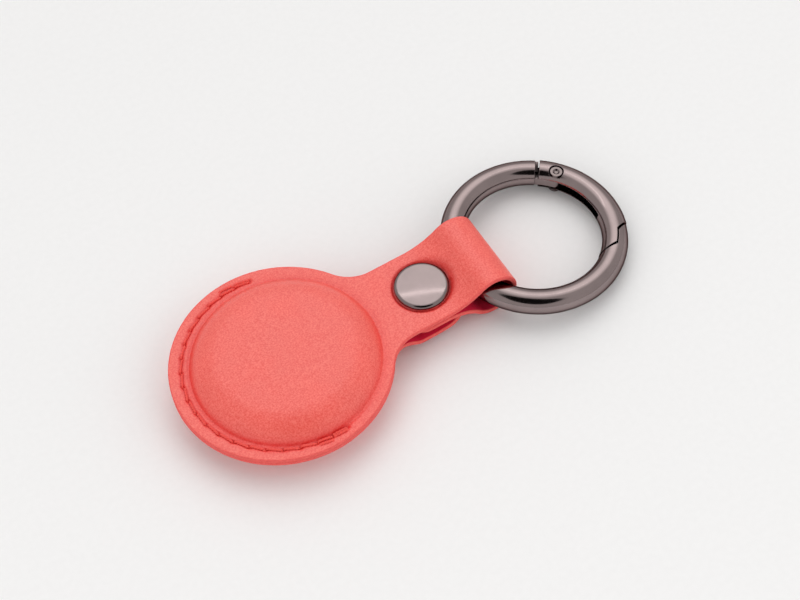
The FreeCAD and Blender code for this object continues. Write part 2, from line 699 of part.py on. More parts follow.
def ring_body():
    """Open ring with a tongue for the gate's pin at one end and a lip for its nose at the other."""
    body = new_body("ring_body")
    bent_wire(body, WIRE_RADIUS, "Dims.body_end", "360 + Dims.lip_tip")
    nose_step(body, "-")
    inner = "(Dims.pin_radius - Dims.tongue_height / 2)"
    root = "(Dims.body_end + Dims.tongue_root)"
    round_end = "Dims.tongue_height / 2"
    pin_x, pin_y = polar("Dims.pin_radius", "Dims.pin_angle")
    tip = (
        f"{pin_x} + {round_end} * sin(Dims.pin_angle)",
        f"{pin_y} - {round_end} * cos(Dims.pin_angle)",
    )
    tongue = new_sketch(body, "tongue_plan", "XY_Plane")
    draw(tongue, [
        (*polar(TONGUE_OUTER, "Dims.pin_angle"), TONGUE_OUTER, "left"),
        polar(TONGUE_OUTER, root),
        (*polar(inner, root), inner, "right"),
        (*polar(inner, "Dims.pin_angle"), round_end, "left"),
        (*tip, round_end, "left"),
    ])
    pad(body, tongue, "tongue", "Dims.tongue_thickness", both_sides=True)
    # A shoulder fills the outer half of the slot, where the gate's tail only moves away from it
    near = "(Dims.gate_end + Dims.shoulder_gap)"
    shoulder = new_sketch(body, "shoulder_plan", "XY_Plane")
    draw(shoulder, [
        (*polar(SHOULDER_OUTER, near), SHOULDER_OUTER, "left"),
        polar(SHOULDER_OUTER, root),
        (*polar("Dims.pin_radius", root), "Dims.pin_radius", "right"),
        polar("Dims.pin_radius", near),
    ])
    pad(body, shoulder, "shoulder", "Dims.shoulder_thickness", both_sides=True)
    pin_hole(body, "Dims.pin_diameter / 2")
    lay_ring(body)
    return body


def ring_gate():
    """Sprung gate: hollowed from the inside for the tongue and the coil spring."""
    body = new_body("ring_gate")
    bent_wire(body, GATE_RADIUS, "Dims.step_inner", "Dims.gate_end")
    nose_step(body, "+")
    channel = new_sketch(body, "channel_section", "XZ_Plane", turn="Dims.channel_end")
    draw(channel, [
        (f"{RING_INNER} - {GATE_RADIUS}", f"-{CHANNEL_HALF}"),
        (CHANNEL_FLOOR, f"-{CHANNEL_HALF}"),
        (CHANNEL_FLOOR, CHANNEL_HALF),
        (f"{RING_INNER} - {GATE_RADIUS}", CHANNEL_HALF),
    ])
    turned(body, channel, "channel", "Dims.body_end - (Dims.channel_end)", cut=True)
    pin_hole(body, "Dims.pin_diameter / 2 + Dims.pin_play")
    seat = f"({PIN_TOP} - Dims.pin_head_height - Dims.pin_play)"
    for name, side in (("upper_seat", ""), ("lower_seat", "-")):
        sketch = new_sketch(body, name, "XY_Plane", shift={"z": f"{side}{seat}"})
        draw_circle(
            sketch, *polar("Dims.pin_radius", "Dims.pin_angle"),
            "Dims.pin_head / 2 + Dims.head_room",
        )
        before = body.Shape.Volume
        sink = body.newObject("PartDesign::Pocket", f"{name}_cut")
        sink.Profile = sketch
        sink.Reversed = side == ""
        sink.setExpression("Length", "Dims.gate_wire")
        doc.recompute()
        assert body.Shape.Volume < before, f"{name} cuts nothing"
    lay_ring(body)
    return body


def gate_pin():
    """Rivet pin through both cheeks of the gate and the tongue, dimpled at its ends."""
    body = new_body("gate_pin")
    sketch = new_sketch(body, "section", "XZ_Plane")
    head = "Dims.pin_head / 2"
    shank = "Dims.pin_diameter / 2"
    below = f"({PIN_TOP} - Dims.pin_head_height)"
    dimple = "Dims.pin_dimple / 2"
    floor = f"({PIN_TOP} - Dims.pin_head_height / 2)"
    draw(sketch, [
        ("0", f"-{floor}"),
        (f"{dimple} / 2", f"-{floor}"),
        (dimple, f"-{PIN_TOP}"),
        (head, f"-{PIN_TOP}"),
        (head, f"-{below}"),
        (shank, f"-{below}"),
        (shank, below),
        (head, below),
        (head, PIN_TOP),
        (dimple, PIN_TOP),
        (f"{dimple} / 2", floor),
        ("0", floor),
    ])
    turned(body, sketch, "rivet")
    pin_x, pin_y = polar("Dims.pin_radius", "Dims.pin_angle")
    lay_ring(body)
    ring_x = f"{LOOP_X} + ({RING_ARM} + {pin_x}) * cos({RING_TILT})"
    ring_z = f"{LOOP_Z} - ({RING_ARM} + {pin_x}) * sin({RING_TILT})"
    body.setExpression("Placement.Base.x", ring_x)
    body.setExpression("Placement.Base.y", pin_y)
    body.setExpression("Placement.Base.z", ring_z)
    return body


def biarc(start, start_way, finish, finish_way):
    """Two arcs that leave start and reach finish along the given unit directions."""
    chord = finish - start
    ways = start_way + finish_way
    a = 2 * (1 - start_way.dot(finish_way))
    b = chord.dot(ways)
    c = chord.dot(chord)
    reach = (math.sqrt(b * b + a * c) - b) / a if a > 1e-9 else c / (4 * chord.dot(finish_way))
    knee = (start + start_way * reach + finish - finish_way * reach) * 0.5
    edges = []
    for first, last, way in ((start, knee, start_way), (finish, knee, finish_way * -1)):
        span = last - first
        lift = span - way * span.dot(way)
        radius = span.dot(span) / (2 * lift.Length)
        centre = first + lift.normalize() * radius
        middle = (first + last) * 0.5 - centre
        edges.append(Part.Arc(first, centre + middle.normalize() * radius, last).toShape())
    return edges


def gate_spring():
    """Coil spring along the gate's channel, from the tongue's end to the channel's end."""
    wire = sheet.coil_wire
    mean = (sheet.coil_diameter - wire) / 2
    axis = number(CHANNEL_FLOOR) - sheet.coil_room - sheet.coil_diameter / 2
    room = math.degrees((wire / 2 + sheet.coil_room) / axis)
    tongue_end = sheet.pin_angle - math.degrees(sheet.tongue_height / 2 / sheet.pin_radius)
    first = math.radians(tongue_end - room)
    last = math.radians(sheet.channel_end + room)
    turns = (first - last) * axis / sheet.coil_pitch

    def point(share):
        bend = first + (last - first) * share
        wind = 2 * math.pi * turns * share
        out = Vector(math.cos(bend), math.sin(bend), 0)
        return out * (axis + mean * math.cos(wind)) + Vector(0, 0, mean * math.sin(wind))

    steps = math.ceil(4 * turns)
    step = 1e-5
    points = [point(index / steps) for index in range(steps + 1)]
    ways = [
        (point(index / steps + step) - point(index / steps - step)).normalize()
        for index in range(steps + 1)
    ]
    edges = []
    for index in range(steps):
        edges += biarc(points[index], ways[index], points[index + 1], ways[index + 1])
    path = Part.Wire(Part.__sortEdges__(edges))
    section = Part.Wire(Part.Circle(points[0], ways[0], wire / 2).toShape())
    shell = Part.BRepOffsetAPI.MakePipeShell(path)
    shell.add(section)
    shell.build()
    shell.makeSolid()
    least = min(
        points[index].distanceToPoint(points[index + 4]) - wire for index in range(len(points) - 4)
    )
    print(f"coil spring: {turns:.1f} turns, least gap between turns {least:.2f} mm")
    spring = doc.addObject("Part::Feature", "gate_spring")
    spring.Label = "gate_spring"
    spring.Shape = shell.shape()
    lay_ring(spring)
    return spring


def check(pieces):
    """Stop if an object failed or a piece isn't a sound solid."""
    doc.recompute()
    for item in doc.Objects:
        bad = [word for word in item.State if word in ("Invalid", "Error")]
        assert not bad, f"{item.Name} failed: {item.State}"
    for piece in pieces:
        assert not piece.Shape.isNull(), f"{piece.Label} is empty"
        assert piece.Shape.isValid(), f"{piece.Label} is not valid"
        assert piece.Shape.Solids, f"{piece.Label} has no solid"


pieces = [
    front_panel(),
    *back_halves(back_leather()),
    stitch_row("needle_thread", number(RIM_TOP), 1),
    stitch_row("bobbin_thread", number("Dims.back_rise"), -1),
    snap_cap(),
    snap_cap_post(),
    snap_socket(),
    snap_spring(),
    snap_stud(),
    snap_stud_post(),
    ring_body(),
    ring_gate(),
    gate_pin(),
    gate_spring(),
]
check(pieces)
os.makedirs("parts", exist_ok=True)
for piece in pieces:
    piece.Shape.exportStep(os.path.join("parts", f"{piece.Label}.step"))
    box = piece.Shape.BoundBox
    print(
        f"{piece.Label}: {len(piece.Shape.Solids)} solids, {piece.Shape.Volume:.2f} mm3,"
        f" x {box.XMin:.2f} to {box.XMax:.2f}, z {box.ZMin:.2f} to {box.ZMax:.2f}"
    )
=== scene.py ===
import math
import random

import bmesh
import bpy
from mathutils import Matrix, Vector, noise


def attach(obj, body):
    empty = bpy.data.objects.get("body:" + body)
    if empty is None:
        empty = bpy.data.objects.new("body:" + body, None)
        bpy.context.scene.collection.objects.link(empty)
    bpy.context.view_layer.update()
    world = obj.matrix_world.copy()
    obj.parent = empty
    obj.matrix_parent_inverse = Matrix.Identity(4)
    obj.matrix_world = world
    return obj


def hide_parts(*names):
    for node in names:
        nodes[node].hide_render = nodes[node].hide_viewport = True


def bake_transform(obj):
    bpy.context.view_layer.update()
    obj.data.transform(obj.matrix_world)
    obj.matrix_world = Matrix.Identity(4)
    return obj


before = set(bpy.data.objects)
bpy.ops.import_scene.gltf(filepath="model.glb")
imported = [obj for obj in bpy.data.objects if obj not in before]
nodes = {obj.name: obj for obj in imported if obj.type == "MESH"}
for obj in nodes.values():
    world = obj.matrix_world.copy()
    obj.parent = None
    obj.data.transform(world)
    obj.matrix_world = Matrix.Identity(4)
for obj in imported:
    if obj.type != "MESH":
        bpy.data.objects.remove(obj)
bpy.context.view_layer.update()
scene = bpy.context.scene
MM = 0.001

# Sizes of the leather in millimetres: the main ones are those of the solids that it stands for
LEATHER = 0.85
EDGE_ROUND = 0.2
# Fuzz of the cut edges: its height, waves per millimetre along them and their change in depth
EDGE_FUZZ = 0.02
FUZZ_ALONG = 1.7
FUZZ_DOWN = 9
DISC = 19.5
# Centres of the two moulded domes: the front one sits a little off its seam's
FRONT_DOME = (0.75, -0.45)
BACK_DOME = (1.0, 0.0)
DOME_FOOT = 16.8
DOME_TOP = 11.4
DOME_CREASE = 0.35
# Crown of both domes, and how far past their flat top it runs out
DOME_CROWN = 0.45
CROWN_PAST = 2
FRONT_RISE = 3.4
BACK_RISE = 4.6
RIM_TOP = 6.3
NECK_FILLET = 7.0
STRAP_HALF = 7.75
LOOP_X = 38.1513
LOOP_Z = 4.875
LOOP_HALF_LENGTH = 4.58
LOOP_HALF_HEIGHT = 4.56
FOLD_UPPER = 12.0
FOLD_LOWER = 8.0
RETURN_BOTTOM = 4.45
RETURN_TIP = 22.3
RETURN_CORNER = 3.0
TAB_HALF = 7.5
TAB_BOTTOM = 1.6
TAB_BEND = (18.05, 23.75)
TAB_TIP = 34.15
TAB_CORNER = 4.9
SNAP_X = 28.0
CAP_RADIUS = 4.85
SOCKET_RADIUS = 4.5
# How far past its cap the press stud holds the strap flat, and the run over which it lets go
CAP_HOLD = 0.1
HOLD_RUN = 1.3
# Groove that the cap's rim presses into the strap: its way out from the cap, depth and width
CAP_GROOVE = (0.12, 0.5, 0.25)
# Rise of the tab's tip towards the fold and of its long edges, with the places where they start
TIP_RISE = 0.25
TIP_RISE_X = 31
CURL_RISE = 1.4
CURL_X = 25.5
CURL_Y = 4.6
# Depth and width of the crease at a dome's foot. The seam deepens it on its own side of a slanting
# line, given by its place, its slant and the run over which the depth grows
CREASE_DEPTH = 0.03
CREASE_SEWN = 0.12
CREASE_WIDTH = 0.25
SEWN_SIDE = (6.0, 0.5, 16)
# Slight unevenness of the rim: its height, waves per millimetre and level in the noise
WAVE_HEIGHT = 0.05
WAVE_SCALE = 0.16
WAVE_LEVEL = 3.7

# Sizes of the seam in millimetres
STITCH_X = 0.4
STITCH_RADIUS = 17.6
STITCH_START = math.radians(81)
STITCH_COUNT = 21
STITCH_LENGTH = 2.72
# Distance of the second strand in the tacked stitches, counted from each end of the seam
TACKS = {0: 0.34, 1: 0.66}
TACK_BOW = 0.05
TACK_LIFT = 0.12
# Depth of the thread's line below the face, and a stitch's rise over it, dive at its ends and slant
THREAD_SINK = 0.06
STITCH_LIFT = 0.06
STITCH_DIVE = 0.45
STITCH_SLANT = 0.15
# Two plies: their radius, their distance from the stitch's line and their turns along it
PLY_RADIUS = 0.145
PLY_OFFSET = 0.105
PLY_TURNS = 2.6
# Chance in a stitch's end, in radius and in angle, in its bow and in how its plies start
RADIUS_PLAY = 0.04
ANGLE_PLAY = 0.002
BOW_PLAY = 0.03
TWIST_PLAY = 6
# Groove along the seam with its depth and width, the holes in it with their depth, width and length,
# and the distance past which neither is felt
SEAM_GROOVE = (0.12, 0.42)
SEAM_HOLE = (0.34, 0.3, 0.36)
SEAM_REACH = 2
# Share of a stitch over which the groove runs out past the seam's ends
SEAM_FADE = 0.4

# Steps of the meshes: across strap and tab, round the disc, down rim and dome, along strap, tab and
# stitch. The strap's flat run has a step in millimetres, and tries are for the place of a hollow
STRAP_ACROSS = 60
TAB_ACROSS = 40
FILLET_STEPS = 14
DISC_STEPS = 330
RIM_STEPS = 13
FOOT_STEPS = 8
SHOULDER_STEPS = 16
CROWN_STEPS = 15
HOLLOW_STEPS = 14
LOOP_STEPS = 60
RETURN_STEPS = 30
TAB_STEPS = 44
STITCH_STEPS = 22
STRAP_STEP = 0.25
HOLLOW_TRIES = 4000
# Places of the cut edge and of the underside in a leather mesh's list of materials
EDGE_INDEX = 1
INSIDE_INDEX = 2

# Light of the white tent, the directions of its dark opening and of the lamp that glows through it
TENT = (0.70, 0.692, 0.685)
GLOW = (1.2, 1.19, 1.18)
DARK = (0.012, 0.011, 0.011)
OPENING = (-0.235, -0.499, 0.834)
LAMP = (0.235, 0.499, 0.834)
# Radius of the cap's crown in metres
CROWN_RADIUS = 0.048

# Camera, placed and turned by matching the photograph's outline, with its place in millimetres
CAMERA_PLACE = (-58.325, -173.532, 295.840)
CAMERA_RIGHT = (0.859651, -0.507266, -0.060670)
CAMERA_UP = (0.453377, 0.702753, 0.548259)
CAMERA_BACK = (-0.235477, -0.498818, 0.834105)


# Camera and light


def place_camera():
    data = bpy.data.cameras.new("camera")
    data.lens = 90
    data.sensor_width = 36
    data.clip_start = 0.01
    data.clip_end = 20
    camera = bpy.data.objects.new("camera", data)
    turn = Matrix((CAMERA_RIGHT, CAMERA_UP, CAMERA_BACK)).transposed().to_4x4()
    camera.matrix_world = Matrix.Translation(Vector(CAMERA_PLACE) * MM) @ turn
    scene.collection.objects.link(camera)
    scene.camera = camera


def softbox(name, place, target, size, radiance, in_reflections=True):
    """Area light that shows the given radiance to what it faces."""
    data = bpy.data.lights.new(name, "AREA")
    data.shape = "RECTANGLE"
    data.size = size[0]
    data.size_y = size[1]
    data.energy = radiance * math.pi * size[0] * size[1]
    lamp = bpy.data.objects.new(name, data)
    lamp.location = place
    aim = Vector(target) - Vector(place)
    lamp.rotation_euler = aim.to_track_quat("-Z", "Y").to_euler()
    lamp.visible_glossy = in_reflections
    scene.collection.objects.link(lamp)


def facing(tree, way, direction):
    """How far a direction of the world points along a given one, 1 where they agree."""
    node = tree.nodes.new("ShaderNodeVectorMath")
    node.operation = "DOT_PRODUCT"
    node.inputs[1].default_value = direction
    tree.links.new(way, node.inputs[0])
    return node.outputs["Value"]


def light_studio():
    """White tent with a lamp above its far side, and a dark opening on the side that the photograph
    was taken from."""
    world = bpy.data.worlds.new("studio")
    world.use_nodes = True
    tree = world.node_tree
    way = tree.nodes.new("ShaderNodeTexCoord").outputs["Generated"]
    tent = ramp(tree, facing(tree, way, OPENING), (0.90, TENT), (0.92, DARK))
    glow = ramp(tree, facing(tree, way, LAMP), (0.80, grey(0.0)), (0.99, GLOW))
    tree.links.new(mix_colour(tree, 1.0, tent, glow, "ADD"), tree.nodes["Background"].inputs["Color"])
    scene.world = world
    middle = (0.025, 0, 0)
    softbox("strip", (0.153, 0.296, 0.568), middle, size=(0.5, 0.018), radiance=1.8)
    fill = {"size": (0.8, 0.8), "in_reflections": False}
    softbox("right_fill", (0.56, -0.42, 0.45), middle, radiance=0.68, **fill)
    softbox("left_fill", (-0.58, -0.3, 0.5), middle, radiance=0.72, **fill)


# Node materials


def new_material(name):
    material = bpy.data.materials.new(name)
    material.use_nodes = True
    tree = material.node_tree
    return material, tree, tree.nodes["Principled BSDF"]


def add_node(tree, kind, **inputs):
    node = tree.nodes.new(kind)
    for key, value in inputs.items():
        node.inputs[key.replace("_", " ")].default_value = value
    return node


def noise_node(tree, place, scale, detail=2.0, roughness=0.5):
    node = add_node(tree, "ShaderNodeTexNoise", Scale=scale, Detail=detail, Roughness=roughness)
    tree.links.new(place, node.inputs["Vector"])
    return node.outputs["Fac"]


def ramp(tree, source, *stops):
    """Colour ramp with stops (position, colour)."""
    node = tree.nodes.new("ShaderNodeValToRGB")
    elements = node.color_ramp.elements
    while len(elements) < len(stops):
        elements.new(0.5)
    for element, (position, colour) in zip(elements, stops):
        element.position = position
        element.color = (*colour, 1)
    tree.links.new(source, node.inputs["Fac"])
    return node.outputs["Color"]


def grey(value):
    return (value, value, value)


def bump(tree, height, distance, strength=1.0, normal=None):
    node = add_node(tree, "ShaderNodeBump", Strength=strength, Distance=distance)
    tree.links.new(height, node.inputs["Height"])
    if normal is not None:
        tree.links.new(normal, node.inputs["Normal"])
    return node.outputs["Normal"]


def mix_colour(tree, factor, first, second, kind="MIX"):
    """Mix two colours; each may be a socket or a plain colour."""
    node = tree.nodes.new("ShaderNodeMix")
    node.data_type = "RGBA"
    node.blend_type = kind
    for socket, value in ((node.inputs[0], factor), (node.inputs[6], first), (node.inputs[7], second)):
        if isinstance(value, bpy.types.NodeSocket):
            tree.links.new(value, socket)
        elif isinstance(value, tuple):
            socket.default_value = (*value, 1)
        else:
            socket.default_value = value
    return node.outputs[2]


def object_place(tree):
    return tree.nodes.new("ShaderNodeTexCoord").outputs["Object"]


def leather_face():
    """Fine-grained coated leather in coral red, with a soft sheen and painted shade that darkens its
    colour in creases, holes and grooves.
    """
    material, tree, shader = new_material("leather_face")
    place = object_place(tree)
    cells = add_node(tree, "ShaderNodeTexVoronoi", Scale=3400, Randomness=1.0)
    cells.feature = "SMOOTH_F1"
    tree.links.new(place, cells.inputs["Vector"])
    fine = noise_node(tree, place, scale=3600, roughness=0.6)
    broad = noise_node(tree, place, scale=160, detail=3.0)
    speckle = ramp(tree, fine, (0.34, (0.85, 0.073, 0.055)), (0.66, (0.965, 0.170, 0.134)))
    tone = ramp(tree, broad, (0.3, grey(0.95)), (0.7, grey(1.0)))
    dyed = mix_colour(tree, 1.0, speckle, tone, "MULTIPLY")
    # Painted shade: ambient occlusion turns the colour a deep, dark red in creases, stitch holes,
    # grooves and round the cap
    hollow = add_node(tree, "ShaderNodeAmbientOcclusion", Distance=0.0028)
    hollow.samples = 8
    stops = ((0.35, (0.70, 0.015, 0.03)), (0.77, (0.95, 0.46, 0.48)), (0.97, grey(1.0)))
    painted_crease_shade = ramp(tree, hollow.outputs["AO"], *stops)
    tree.links.new(mix_colour(tree, 1.0, dyed, painted_crease_shade, "MULTIPLY"), shader.inputs["Base Color"])
    rough = ramp(tree, broad, (0.3, grey(0.38)), (0.7, grey(0.45)))
    tree.links.new(rough, shader.inputs["Roughness"])
    grain = bump(tree, cells.outputs["Distance"], distance=0.00006, strength=0.6)
    pores = bump(tree, fine, distance=0.00004, strength=0.5, normal=grain)
    tree.links.new(pores, shader.inputs["Normal"])
    shader.inputs["Specular IOR Level"].default_value = 0.7
    return material


def leather_edge():
    """Cut edge: paler fibres with a matt, slightly fuzzy face."""
    material, tree, shader = new_material("leather_edge")
    place = object_place(tree)
    fibres = noise_node(tree, place, scale=2600, detail=4.0, roughness=0.7)
    colour = ramp(tree, fibres, (0.25, (0.78, 0.085, 0.078)), (0.75, (0.95, 0.165, 0.145)))
    tree.links.new(colour, shader.inputs["Base Color"])
    fuzz = bump(tree, fibres, distance=0.00012, strength=0.8)
    tree.links.new(fuzz, shader.inputs["Normal"])
    shader.inputs["Roughness"].default_value = 0.75
    shader.inputs["Specular IOR Level"].default_value = 0.25
    return material


def leather_inside():
    """Napped underside of the leather; its red, deeper than the face's, is painted shade for the
    inside of the loop and the gaps between layers.
    """
    material, tree, shader = new_material("leather_inside")
    place = object_place(tree)
    nap = noise_node(tree, place, scale=3000, detail=4.0, roughness=0.7)
    # Painted shade: the underside's red is darker than the face's
    colour = ramp(tree, nap, (0.25, (0.72, 0.012, 0.05)), (0.75, (0.84, 0.03, 0.08)))
    tree.links.new(colour, shader.inputs["Base Color"])
    fuzz = bump(tree, nap, distance=0.0001, strength=0.7)
    tree.links.new(fuzz, shader.inputs["Normal"])
    shader.inputs["Roughness"].default_value = 0.9
    shader.inputs["Specular IOR Level"].default_value = 0.06
    return material


def thread_material():
    """Red sewing thread with fine fibres along its plies."""
    material, tree, shader = new_material("thread_red")
    place = object_place(tree)
    fibres = noise_node(tree, place, scale=7000, detail=3.0, roughness=0.7)
    colour = ramp(tree, fibres, (0.3, (0.84, 0.075, 0.062)), (0.7, (0.97, 0.145, 0.118)))
    tree.links.new(colour, shader.inputs["Base Color"])
    fuzz = bump(tree, fibres, distance=0.00005, strength=0.7)
    tree.links.new(fuzz, shader.inputs["Normal"])
    shader.inputs["Roughness"].default_value = 0.6
    shader.inputs["Specular IOR Level"].default_value = 0.25
    return material


def cap_crown(tree, place):
    """Height of the slight crown that a pressed cap has about its axis."""
    flat = add_node(tree, "ShaderNodeMapping", Location=(-SNAP_X * MM, 0, 0), Scale=(1, 1, 0))
    tree.links.new(place, flat.inputs["Vector"])
    square = tree.nodes.new("ShaderNodeVectorMath")
    square.operation = "DOT_PRODUCT"
    tree.links.new(flat.outputs["Vector"], square.inputs[0])
    tree.links.new(flat.outputs["Vector"], square.inputs[1])
    fall = tree.nodes.new("ShaderNodeMath")
    fall.operation = "MULTIPLY"
    fall.inputs[1].default_value = -1 / (2 * CROWN_RADIUS)
    tree.links.new(square.outputs["Value"], fall.inputs[0])
    return fall.outputs["Value"]


def metal(name, dark, light, roughness, rounding=0.00012, crowned=False):
    """Plated metal: tone and gloss vary a little, with fine polishing marks, softened edges and
    painted shade that darkens its slots and hollows nearly to black."""
    material, tree, shader = new_material(name)
    place = object_place(tree)
    cloud = noise_node(tree, place, scale=220, detail=3.0)
    marks = noise_node(tree, place, scale=9000)
    plating = ramp(tree, cloud, (0.3, dark), (0.7, light))
    # Painted shade: ambient occlusion darkens the colour nearly to black in slots, the gate's channel
    # and other hollows
    depth = add_node(tree, "ShaderNodeAmbientOcclusion", Distance=0.0022)
    depth.samples = 8
    painted_slot_shade = ramp(tree, depth.outputs["AO"], (0.45, grey(0.02)), (0.82, grey(1.0)))
    tree.links.new(mix_colour(tree, 1.0, plating, painted_slot_shade, "MULTIPLY"), shader.inputs["Base Color"])
    low, high = roughness
    gloss = ramp(tree, cloud, (0.3, grey(low)), (0.7, grey(high)))
    tree.links.new(gloss, shader.inputs["Roughness"])
    shader.inputs["Metallic"].default_value = 1.0
    shader.inputs["Specular Tint"].default_value = (0.14, 0.12, 0.12, 1)
    edge = add_node(tree, "ShaderNodeBevel", Radius=rounding)
    edge.samples = 6
    normal = edge.outputs["Normal"]
    if crowned:
        normal = bump(tree, cap_crown(tree, place), distance=1.0, normal=normal)
    normal = bump(tree, marks, distance=0.000002, strength=0.5, normal=normal)
    tree.links.new(normal, shader.inputs["Normal"])
    return material


def floor_material():
    """Pale paper sweep with a barely visible tooth."""
    material, tree, shader = new_material("floor_paper")
    place = object_place(tree)
    tooth = noise_node(tree, place, scale=900)
    paper = ramp(tree, tooth, (0.3, grey(0.90)), (0.7, grey(0.915)))
    tree.links.new(paper, shader.inputs["Base Color"])
    shader.inputs["Roughness"].default_value = 0.9
    shader.inputs["Specular IOR Level"].default_value = 0.0
    return material


# Plans and sections of the leather, in millimetres


def arc_points(centre, radius, start, end, count):
    """Points along an arc, angles in radians, first and last included."""
    return [
        (
            centre[0] + radius * math.cos(start + (end - start) * k / count),
            centre[1] + radius * math.sin(start + (end - start) * k / count),
        )
        for k in range(count + 1)
    ]


def outline(half_width, across):
    """Closed plan of disc and neck, drawn in by the edge's rounding: the neck line from -y to +y
    in so many steps, then the fillet, the disc and the other fillet. Last point isn't repeated."""
    disc = DISC - EDGE_ROUND - EDGE_FUZZ
    half = half_width - EDGE_ROUND
    fillet = NECK_FILLET + EDGE_ROUND
    reach = disc + fillet
    neck_x = math.sqrt(reach * reach - (half + fillet) ** 2)
    lean = math.atan2(half + fillet, neck_x)
    points = [(neck_x, -half + 2 * half * k / across) for k in range(across + 1)]
    steps = FILLET_STEPS
    points += arc_points((neck_x, half + fillet), fillet, -math.pi / 2, lean - math.pi, steps)[1:]
    points += arc_points((0, 0), disc, lean, 2 * math.pi - lean, DISC_STEPS)[1:]
    points += arc_points((neck_x, -half - fillet), fillet, math.pi - lean, math.pi / 2, steps)[1:-1]
    return points


def dome_section(rise):
    """Radius and height of a dome's skin above its rim, from foot to centre, slightly crowned."""
    rise -= DOME_CROWN
    run = DOME_FOOT - DOME_TOP
    sweep = 2 * math.atan(rise / run)
    shoulder = (run * run + rise * rise) / (2 * rise) - DOME_CREASE
    section = []
    for k in range(FOOT_STEPS + 1):
        turn = sweep * k / FOOT_STEPS
        section.append((DOME_FOOT - DOME_CREASE * math.sin(turn), DOME_CREASE * (1 - math.cos(turn))))
    for k in range(1, SHOULDER_STEPS + 1):
        turn = sweep * (1 - k / SHOULDER_STEPS)
        section.append((DOME_TOP + shoulder * math.sin(turn), rise - shoulder * (1 - math.cos(turn))))
    for k in range(1, CROWN_STEPS):
        section.append((DOME_TOP * (1 - k / CROWN_STEPS), rise))
    crowned = []
    for radius, height in section:
        crown = DOME_CROWN * max(0.0, 1 - (radius / (DOME_TOP + CROWN_PAST)) ** 2)
        crowned.append((radius, height + crown))
    return crowned


def stitch_angles():
    span = 2 * (math.pi - STITCH_START)
    return [STITCH_START + span * (k + 0.5) / STITCH_COUNT for k in range(STITCH_COUNT)]


def seam_sink(x, y):
    """Depth by which the seam draws the leather in at a place of its plan."""
    radius = math.hypot(x - STITCH_X, y)
    away = radius - STITCH_RADIUS
    if abs(away) > SEAM_REACH:
        return 0.0
    angle = math.atan2(y, x - STITCH_X) % (2 * math.pi)
    span = 2 * (math.pi - STITCH_START)
    along = (angle - STITCH_START) / span * STITCH_COUNT
    end = STITCH_COUNT + SEAM_FADE
    if along < -SEAM_FADE or along > end:
        return 0.0
    fade = min(1.0, (along + SEAM_FADE) / SEAM_FADE, (end - along) / SEAM_FADE)
    to_hole = abs(along - round(along)) * span * STITCH_RADIUS / STITCH_COUNT
    depth, width = SEAM_GROOVE
    groove = depth * math.exp(-(away / width) ** 2)
    depth, width, length = SEAM_HOLE
    hole = depth * math.exp(-(away / width) ** 2 - (to_hole / length) ** 2)
    return fade * (groove + hole)


def crease_sink(x, y, dome):
    """Depth of the crease round a dome's foot, sharpest where the seam draws it in."""
    away = math.hypot(x - dome[0], y - dome[1]) - DOME_FOOT
    place, slant, run = SEWN_SIDE
    sewn = ease((place - x - slant * y) / run)
    return (CREASE_DEPTH + CREASE_SEWN * sewn) * math.exp(-(away / CREASE_WIDTH) ** 2)


def rim_wave(x, y):
    """Slight hand-made unevenness of the rim."""
    return WAVE_HEIGHT * noise.noise(Vector((x * WAVE_SCALE, y * WAVE_SCALE, WAVE_LEVEL)))


def sheet_mesh(name, points, faces, edge_loops, materials):
    """Leather of one thickness: the outer face as given, its cut edges rounded, and an inner face.
    Loops run along the outer face's border with the leather on their left, seen from outside."""
    bm = bmesh.new()
    outer = [bm.verts.new(point) for point in points]
    for face in faces:
        bm.faces.new([outer[k] for k in face]).smooth = True
    bm.normal_update()
    normals = [vert.normal.copy() for vert in outer]
    inner = [bm.verts.new(vert.co - normal * LEATHER) for vert, normal in zip(outer, normals)]
    for face in faces:
        made = bm.faces.new([inner[k] for k in reversed(face)])
        made.smooth = True
        made.material_index = INSIDE_INDEX
    turns = [math.radians(angle) for angle in (30, 60, 90)]
    rounding = [(EDGE_ROUND * math.sin(a), EDGE_ROUND * (1 - math.cos(a))) for a in turns]
    steps = rounding + [(EDGE_ROUND, LEATHER / 2)]
    steps += [(out, LEATHER - depth) for out, depth in reversed(rounding)]
    for loop in edge_loops:
        rings = [[outer[k] for k in loop]]
        for out, depth in steps:
            ring = []
            for i, k in enumerate(loop):
                along = outer[loop[(i + 1) % len(loop)]].co - outer[loop[i - 1]].co
                way = along.cross(normals[k]).normalized()
                place = outer[k].co * FUZZ_ALONG + Vector((depth * FUZZ_DOWN, 0, 0))
                fuzz = EDGE_FUZZ * noise.noise(place)
                ring.append(bm.verts.new(outer[k].co + way * (out + fuzz) - normals[k] * depth))
            rings.append(ring)
        rings.append([inner[k] for k in loop])
        for upper, lower in zip(rings, rings[1:]):
            for i in range(len(loop)):
                j = (i + 1) % len(loop)
                made = bm.faces.new((upper[i], lower[i], lower[j], upper[j]))
                made.smooth = True
                made.material_index = EDGE_INDEX
    return finish_mesh(name, bm, materials)


def finish_mesh(name, bm, materials):
    """Mesh object in metres from one modelled in millimetres."""
    mesh = bpy.data.meshes.new(name)
    bmesh.ops.scale(bm, vec=(MM, MM, MM), verts=bm.verts)
    bm.normal_update()
    bm.to_mesh(mesh)
    bm.free()
    for material in materials:
        mesh.materials.append(material)
    piece = bpy.data.objects.new(name, mesh)
    scene.collection.objects.link(piece)
    return piece


